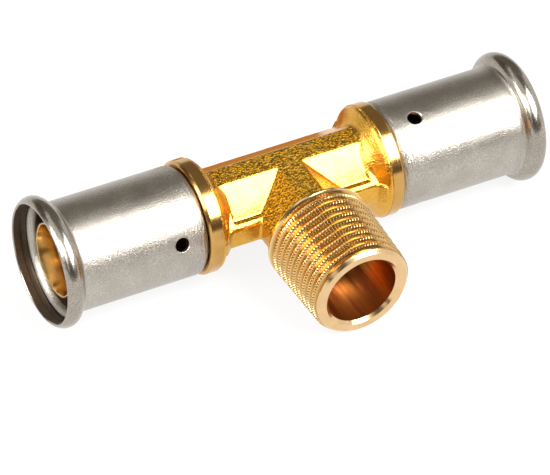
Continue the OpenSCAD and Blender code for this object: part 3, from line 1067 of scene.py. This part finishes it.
# %% Satin stainless
# Drawn stainless steel: a warm grey mirror, blurred by fine lines and speckled by grit.
# The lines stay too fine to be seen one by one. They only stretch the highlight.
LINE_MM = 0.05
LINE_STRETCH = 5.0
LINE_HEIGHT = 0.01
LINE_STRENGTH = 0.2
CLOUD_MM = 4.0
# Real grit is finer than this. It is drawn coarser, so that it shows as a speckle.
GRIT_MM = 0.22
GRIT_HEIGHT = 0.09
SPECKLE_RANGE = (0.35, 0.65)
DRAG_MM = 0.35
DRAG_HEIGHT = 0.25
DRAG_END_X = 27
FULL_ROUGH = 0.6


def satin_stainless(name, dark, light, rough_low, rough_high, grit_strength):
    """Lines round the tube, soft clouds, grit, and drag marks that fade out from the swaged end."""
    material, tree = empty_material(name)
    place = put(tree, "ShaderNodeTexCoord").outputs["Object"]
    split = put(tree, "ShaderNodeSeparateXYZ", {0: place}).outputs
    turn = put(tree, "ShaderNodeMath", {0: split["Z"], 1: split["Y"]}, operation="ARCTAN2").outputs[0]
    around = put(tree, "ShaderNodeMath", {0: turn, 1: LINE_STRETCH}, operation="MULTIPLY").outputs[0]
    rings = []
    for ring_mm, detail in ((LINE_MM, 3.0), (DRAG_MM, 2.0)):
        along = put(tree, "ShaderNodeMath", {0: split["X"], 1: 1 / (ring_mm * MM)}, operation="MULTIPLY")
        wrapped = put(tree, "ShaderNodeCombineXYZ", {"X": along.outputs[0], "Y": around}).outputs[0]
        rings.append(put(tree, "ShaderNodeTexNoise", {
            "Vector": wrapped, "Scale": 1.0, "Detail": detail,
        }).outputs["Fac"])
    lines, drag = rings
    cloud = put(tree, "ShaderNodeTexNoise", {
        "Vector": place, "Scale": 1 / (CLOUD_MM * MM), "Detail": 2.0,
    }).outputs["Fac"]
    grit = put(tree, "ShaderNodeTexNoise", {
        "Vector": place, "Scale": 1 / (GRIT_MM * MM), "Detail": 1.0,
    }).outputs["Fac"]

    speckle = put(tree, "ShaderNodeMapRange", {
        "Value": grit, "From Min": SPECKLE_RANGE[0], "From Max": SPECKLE_RANGE[1],
    }).outputs["Result"]
    tone = put(tree, "ShaderNodeMath", {0: cloud, 1: speckle}, operation="MULTIPLY").outputs[0]
    colour = put(tree, "ShaderNodeMix", {
        "Factor": tone, "A": linear(dark), "B": linear(light),
    }, data_type="RGBA").outputs["Result"]
    veil = put(tree, "ShaderNodeMath", {0: lines, 1: cloud}, operation="MULTIPLY").outputs[0]
    roughness = put(tree, "ShaderNodeMapRange", {
        "Value": veil, "From Max": FULL_ROUGH, "To Min": rough_low, "To Max": rough_high,
    }).outputs["Result"]

    reach = put(tree, "ShaderNodeMath", {0: split["X"]}, operation="ABSOLUTE").outputs[0]
    near_swage = put(tree, "ShaderNodeMapRange", {
        "Value": reach, "From Min": DRAG_END_X * MM, "From Max": sleeve_end * MM,
    }).outputs["Result"]
    marks = put(tree, "ShaderNodeMath", {0: drag, 1: near_swage}, operation="MULTIPLY").outputs[0]
    lined = put(tree, "ShaderNodeBump", {
        "Height": lines, "Strength": LINE_STRENGTH, "Distance": LINE_HEIGHT * MM,
    }).outputs["Normal"]
    gritty = put(tree, "ShaderNodeBump", {
        "Height": grit, "Strength": grit_strength, "Distance": GRIT_HEIGHT * MM, "Normal": lined,
    }).outputs["Normal"]
    scuffed = put(tree, "ShaderNodeBump", {
        "Height": marks, "Strength": 1.0, "Distance": DRAG_HEIGHT * MM, "Normal": gritty,
    }).outputs["Normal"]
    shader = put(tree, "ShaderNodeBsdfPrincipled", {
        "Base Color": colour, "Roughness": roughness, "Metallic": 1.0, "Normal": scuffed,
    })
    put(tree, "ShaderNodeOutputMaterial", {"Surface": shader.outputs["BSDF"]})
    return material


# After the name come the dark and light tones, the lowest and highest roughness and the strength of the grit.
STAINLESS = satin_stainless("satin_stainless", "a39c92", "d6d0c6", 0.25, 0.42, 0.8)
ROLLED_STAINLESS = satin_stainless("rolled_stainless", "948c81", "cac2b6", 0.15, 0.3, 0.12)
# The inside tones are darker and browner: painted shade inside the tube and in its slot.
SHADED_INSIDE_STAINLESS = satin_stainless("shaded_dull_stainless", "756a5d", "a09486", 0.3, 0.5, 0.4)
print("materials:", [finish.name for finish in (STAINLESS, ROLLED_STAINLESS, SHADED_INSIDE_STAINLESS)])

# %% [markdown]
# A sleeve is one wall: swaged inwards at the collar so that it cannot come off, plain along the pipe, and
# rolled out into a bead at the mouth, where the press jaws find their place. Behind the lip the roll
# leaves a slot. The wall is drawn as one closed outline, from the swaged end along the outside and back
# along the inside.

# %% Outline of a sleeve
SLEEVE_BORE_R = 10.2
SLEEVE_WALL = 0.8
SWAGE_TURN = 0.45
SWAGE_LENGTH = 1.0
SWAGE_LEAD = 0.3
SWAGE_EDGE = 0.2
SWAGE_INNER_EDGE = 0.15
SWAGE_EASE = [(-0.15, -0.07), (0.2, 0.0)]
BEAD_SHIFT = 0.2
BEAD_STEPS = 28
BEAD_FILLET = 1.2
FILLET_STEPS = 10
BEAD_SLOT = 0.9
BEND_R = 1.8
RIM_CUT_DEG = 36
RIM_EDGE_LENGTH = 0.15
RIM_EDGE_DEPTH = 0.1
LIP_RISE = 1.7
LIP_LENGTH = 1.9
LIP_EDGE = 0.2

sleeve_r = SLEEVE_BORE_R + SLEEVE_WALL
bead_r = bead_crest_r - sleeve_r
slot_r = bead_crest_r - SLEEVE_WALL
lip_r = SLEEVE_BORE_R + LIP_RISE


def sleeve_outline():
    """The wall of the right sleeve, as distances along the run and radii."""
    bead_x = mouth_x - bead_r + BEAD_SHIFT
    rim_x = bead_x + bead_r * math.cos(math.radians(RIM_CUT_DEG))
    fillet_reach = math.sqrt((bead_r + BEAD_FILLET) ** 2 - BEAD_FILLET ** 2)
    fillet_deg = math.degrees(math.asin(BEAD_FILLET / (bead_r + BEAD_FILLET)))
    lip_x = mouth_x - LIP_LENGTH
    slot_x = lip_x - BEAD_SLOT
    swage_r = SLEEVE_BORE_R - SWAGE_TURN
    swage_x = sleeve_end + SWAGE_LENGTH
    return [
        (sleeve_end, swage_r + SWAGE_INNER_EDGE), (sleeve_end, swage_r + SLEEVE_WALL - SWAGE_EDGE),
        (sleeve_end + SWAGE_EDGE, swage_r + SLEEVE_WALL),
        *[(swage_x + along, sleeve_r + out) for along, out in SWAGE_EASE],
        *arc(bead_x - fillet_reach, sleeve_r + BEAD_FILLET, BEAD_FILLET, -90, -fillet_deg, FILLET_STEPS),
        *arc(bead_x, sleeve_r, bead_r, 180 - fillet_deg, RIM_CUT_DEG, BEAD_STEPS),
        (rim_x, lip_r + RIM_EDGE_DEPTH), (rim_x - RIM_EDGE_LENGTH, lip_r),
        (lip_x + LIP_EDGE, lip_r), (lip_x, lip_r + LIP_EDGE),
        (lip_x, slot_r), (slot_x, slot_r),
        *arc(slot_x - BEND_R, SLEEVE_BORE_R + BEND_R, BEND_R, 0, -90),
        (swage_x + SWAGE_LEAD, SLEEVE_BORE_R), (swage_x, swage_r),
    ]


print(f"bead radius {bead_r:.2f} mm, points in the outline of a sleeve: {len(sleeve_outline())}")

# %% [markdown]
# Three inspection holes show whether the pipe is home. They are punched through the tube, and their outer
# edge is broken, which catches the light. Each hole is cut by a rod with a flared head. The two sleeves
# were put on turned by chance, so each has its own angle for the first hole.

# %% Punch for the inspection holes
WINDOW_D = 2.9
WINDOW_COUNT = 3
WINDOW_OFFSET = 2.1
WINDOW_CHAMFER = 0.22
SLEEVE_TURNS = {"left": 20, "right": 74}
PUNCH_START = 5
PUNCH_CORE_R = 0.001
PUNCH_RISE = 2
PUNCH_FLARE = 2.4
PUNCH_STEPS = 48


def window_punch(x, turn_deg):
    """A rod with a flared head: it cuts a hole and takes off its outer edge."""
    r = WINDOW_D / 2
    top = sleeve_r + ON_WALL
    work = turned([
        (PUNCH_START, PUNCH_CORE_R), (PUNCH_START, r), (top - WINDOW_CHAMFER, r), (top, r + WINDOW_CHAMFER),
        (top + PUNCH_RISE, r + PUNCH_FLARE), (top + PUNCH_RISE, PUNCH_CORE_R),
    ], PUNCH_STEPS)
    bmesh.ops.recalc_face_normals(work, faces=work.faces)
    upright = Matrix.Rotation(math.radians(-90), 4, "Y")
    lean_over = Matrix.Rotation(math.radians(90 - turn_deg), 4, "X")
    place = Matrix.Translation((x * MM, 0, 0)) @ lean_over @ upright
    bmesh.ops.transform(work, matrix=place, verts=work.verts)
    return make_object("punch", plain_mesh(work, "punch"))


print("holes in a sleeve:", WINDOW_COUNT)

# %% [markdown]
# The wall is spun, mirrored for the left end and punched. Which of the three finishes a face takes
# follows from its depth behind the mouth and its distance from the axis.

# %% Sleeves
SLEEVE_STEPS = 192
SLEEVE_CREASE_DEG = 20
LIP_FRONT = 0.35
ROLLED_START = 0.3


def sleeve_finish(depth, reach):
    """The slot of a face's finish: 0 is the satin outside, 1 the rolled bead and 2 the dull inside in painted
    shade.
    """
    by_slot = LIP_LENGTH - NEAR_WALL < depth < LIP_LENGTH + BEAD_SLOT + NEAR_WALL
    on_slot = by_slot and SLEEVE_BORE_R + BEND_R < reach < slot_r + NEAR_WALL
    on_lip = LIP_FRONT < depth < LIP_LENGTH and reach < lip_r + ON_WALL
    if on_slot or on_lip or reach < SLEEVE_BORE_R + ON_WALL:
        return 2
    on_bead = depth < 2 * bead_r and reach > sleeve_r + ROLLED_START
    return 1 if on_bead else 0


sleeves = []
for side, word in ((-1, "left"), (1, "right")):
    name = f"{word}_press_sleeve"
    tube_mesh = finish_mesh(at_side(turned(sleeve_outline(), SLEEVE_STEPS), side), name, SLEEVE_CREASE_DEG)
    tube = make_object("tube", tube_mesh)
    punches = []
    for i in range(WINDOW_COUNT):
        turn = SLEEVE_TURNS[word] + i * 360 / WINDOW_COUNT
        punches.append(window_punch(side * (washer_end + WINDOW_OFFSET), turn))
        subtract(tube, punches[-1])
    work = bmesh.new()
    work.from_mesh(evaluated_mesh(tube, name))
    for punch in punches:
        bpy.data.objects.remove(punch)
    sleeve_mesh = finish_mesh(work, name, SLEEVE_CREASE_DEG)
    for finish in (STAINLESS, ROLLED_STAINLESS, SHADED_INSIDE_STAINLESS):
        sleeve_mesh.materials.append(finish)
    for face in sleeve_mesh.polygons:
        depth = mouth_x - abs(face.center.x) / MM
        face.material_index = sleeve_finish(depth, math.hypot(face.center.y, face.center.z) / MM)
    sleeves.append(make_object(name, sleeve_mesh))
print("sleeve faces:", [len(sleeve.data.polygons) for sleeve in sleeves])

# %% [markdown]
# The sealing rings and the insulating washers hide inside. The rings are moulded rubber, matt black with
# a faint bloom, and the washers are moulded plastic, a touch smoother. Their solids have the right shape,
# so they stay and only get materials.

# %% Rubber and plastic
# Moulded EPDM rubber and polyethylene, both black: no mirror, only a soft sheen that a fine grain breaks up.
POLYMER_HEIGHT = 0.02
POLYMER_STRENGTH = 0.2


def black_polymer(name, code, rough_low, rough_high, grain_mm):
    """One colour, with a grain in the roughness and in the relief."""
    material, tree = empty_material(name)
    place = put(tree, "ShaderNodeTexCoord").outputs["Object"]
    grain = put(tree, "ShaderNodeTexNoise", {
        "Vector": place, "Scale": 1 / (grain_mm * MM), "Detail": 2.0,
    }).outputs["Fac"]
    roughness = put(tree, "ShaderNodeMapRange", {
        "Value": grain, "To Min": rough_low, "To Max": rough_high,
    }).outputs["Result"]
    bump = put(tree, "ShaderNodeBump", {
        "Height": grain, "Strength": POLYMER_STRENGTH, "Distance": POLYMER_HEIGHT * MM,
    }).outputs["Normal"]
    shader = put(tree, "ShaderNodeBsdfPrincipled", {
        "Base Color": linear(code), "Roughness": roughness, "Normal": bump,
    })
    put(tree, "ShaderNodeOutputMaterial", {"Surface": shader.outputs["BSDF"]})
    return material


# After the name come the colour, the lowest and highest roughness and the width of the grain in millimetres.
POLYMERS = {
    "oring": black_polymer("ring_rubber", "1b1b1c", 0.45, 0.65, 0.25),
    "washer": black_polymer("washer_plastic", "202022", 0.35, 0.5, 0.5),
}
for name, node in frame["nodes"].items():
    for ending, polymer in POLYMERS.items():
        if name.endswith(ending):
            node.data.materials.clear()
            node.data.materials.append(polymer)
            print(name, "is", polymer.name)

# %% [markdown]
# A plain pale floor carries the tee. It leans with the tee's own frame, so that the beads and the
# branch's tip touch it. The camera and mirror-like surfaces see it as white, and a small share of its own
# shading is left in, so that it still takes a soft shadow. The Light Path node tells these rays from
# those that carry light.

# %% Floor
FLOOR_HALF = 3.0
SHADOW_SHARE = 0.14


def seen_directly(tree):
    """One for camera, mirror and glass rays, and zero for the rays that carry light."""
    path = put(tree, "ShaderNodeLightPath").outputs
    seen = path["Is Camera Ray"]
    for ray in ("Is Glossy Ray", "Is Transmission Ray"):
        seen = put(tree, "ShaderNodeMath", {0: seen, 1: path[ray]}, operation="MAXIMUM").outputs[0]
    return seen


floor_work = bmesh.new()
floor_turn = floor_up.to_track_quat("Z", "Y").to_matrix().to_4x4()
floor_place = Matrix.Translation(-floor_up * bead_crest_r * MM) @ floor_turn
bmesh.ops.create_grid(floor_work, x_segments=1, y_segments=1, size=FLOOR_HALF, matrix=floor_place)
floor = make_object("floor", plain_mesh(floor_work, "floor"))

floor_material, floor_tree = empty_material("pale_floor")
white_share = put(floor_tree, "ShaderNodeMath", {
    0: seen_directly(floor_tree), 1: 1 - SHADOW_SHARE,
}, operation="MULTIPLY").outputs[0]
paper = put(floor_tree, "ShaderNodeBsdfDiffuse", {"Color": linear("f2f2f0")}).outputs[0]
glow = put(floor_tree, "ShaderNodeEmission", {"Color": linear("ffffff"), "Strength": 1.0}).outputs[0]
floor_look = put(floor_tree, "ShaderNodeMixShader", {0: white_share, 1: paper, 2: glow}).outputs[0]
put(floor_tree, "ShaderNodeOutputMaterial", {"Surface": floor_look})
floor.data.materials.append(floor_material)
print(f"floor {2 * FLOOR_HALF:.0f} m wide")

# %% [markdown]
# The world is white where it is seen, and dimmer as a light, so that it fills the shadows without washing
# out the metal.

# %% World
WORLD_FILL = 0.55

world = bpy.data.worlds.new("studio")
scene.world = world
world.use_nodes = True
world_tree = world.node_tree
world_tree.nodes.clear()
fill = put(world_tree, "ShaderNodeMapRange", {
    "Value": seen_directly(world_tree), "To Min": WORLD_FILL,
}).outputs["Result"]
sky = put(world_tree, "ShaderNodeBackground", {"Color": linear("ffffff"), "Strength": fill}).outputs[0]
put(world_tree, "ShaderNodeOutputWorld", {"Surface": sky})
print("world strength as a light:", WORLD_FILL)

# %% [markdown]
# Metal shows what stands round it, so the studio matters as much as the metal. Three softboxes light the
# tee. The key stands to the right of the camera, where the slanted flats and the sleeves mirror it as a
# white band. The left one draws the bright streak down the right cone, and the small one at the front
# left fills in between.

# %% Softboxes
# Each row gives a name, a direction from the tee, the distance, width and height in metres, and watts.
SOFTBOXES = [
    ("key_softbox", (0.379, -0.531, 0.757), 0.6, 0.42, 0.4, 6.5),
    ("left_softbox", (-0.86, -0.04, 0.5), 0.7, 0.4, 0.32, 3.6),
    ("front_left_softbox", (-0.55, -0.45, 0.7), 0.7, 0.28, 0.26, 1.5),
]


def aimed(thing, direction, distance):
    """Puts a lamp or card out in a direction and turns its face to the tee."""
    way = Vector(direction).normalized()
    turn = way.to_track_quat("Z", "Y").to_matrix().to_4x4()
    thing.matrix_world = Matrix.Translation(way * distance) @ turn


for name, direction, distance, width, height, power in SOFTBOXES:
    lamp = bpy.data.lights.new(name, "AREA")
    lamp.shape = "RECTANGLE"
    lamp.size = width
    lamp.size_y = height
    lamp.energy = power
    aimed(make_object(name, lamp), direction, distance)
print("softboxes:", len(SOFTBOXES))

# %% [markdown]
# Grey and brown cards hang over, behind, beside and in front of the tee and give the metal its dark
# bands. A very small amber one stands low behind the middle and gives the back edge of the run its amber
# tone. The cards are seen only in reflections: they cast no shadow, add nothing to the diffuse light and
# hide from the camera.

# %% Cards
# Each row gives a name, a direction from the tee, the distance, width and height in metres, and a colour.
CARDS = [
    ("top_card", (0.3, 0.15, 0.95), 0.9, 1.1, 0.75, "858077"),
    ("back_card", (0.3, 0.8, 0.5), 1.0, 1.6, 0.9, "857d73"),
    ("back_left_card", (-0.5, 0.82, 0.5), 1.0, 0.95, 0.6, "6a5f54"),
    ("left_card", (-0.88, -0.33, 0.33), 1.0, 1.0, 0.4, "5e544a"),
    ("camera_card", (-0.25, -0.85, 0.45), 1.1, 0.55, 0.45, "4c443c"),
    ("front_card", (0.1, -0.97, 0.16), 0.9, 2.0, 0.32, "62564a"),
    ("low_right_card", (0.38, -0.82, 0.42), 0.85, 0.8, 0.17, "3a342d"),
    ("low_back_card", (0.17, 0.935, -0.31), 0.033, 0.034, 0.02, "c88838"),
]
for name, direction, distance, width, height, code in CARDS:
    work = bmesh.new()
    # A size of a half gives a grid one metre wide, which is then scaled.
    bmesh.ops.create_grid(work, x_segments=1, y_segments=1, size=0.5)
    bmesh.ops.scale(work, vec=(width, height, 1), verts=work.verts)
    card = make_object(name, plain_mesh(work, name))
    material, tree = empty_material(name)
    face = put(tree, "ShaderNodeEmission", {"Color": linear(code), "Strength": 1.0}).outputs[0]
    put(tree, "ShaderNodeOutputMaterial", {"Surface": face})
    card.data.materials.append(material)
    aimed(card, direction, distance)
    card.visible_camera = False
    card.visible_diffuse = False
    card.visible_shadow = False
print("cards:", len(CARDS))

# %% [markdown]
# Last, each piece is attached to the body that it rides on, and the solid that it stands for is hidden.

# %% Hand over
for piece in [forging, *end_pieces, thread]:
    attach(piece, "root")
    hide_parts("tee_body")
for piece, node_name in zip(sleeves, ("left_sleeve", "right_sleeve")):
    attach(piece, "root")
    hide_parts(node_name)
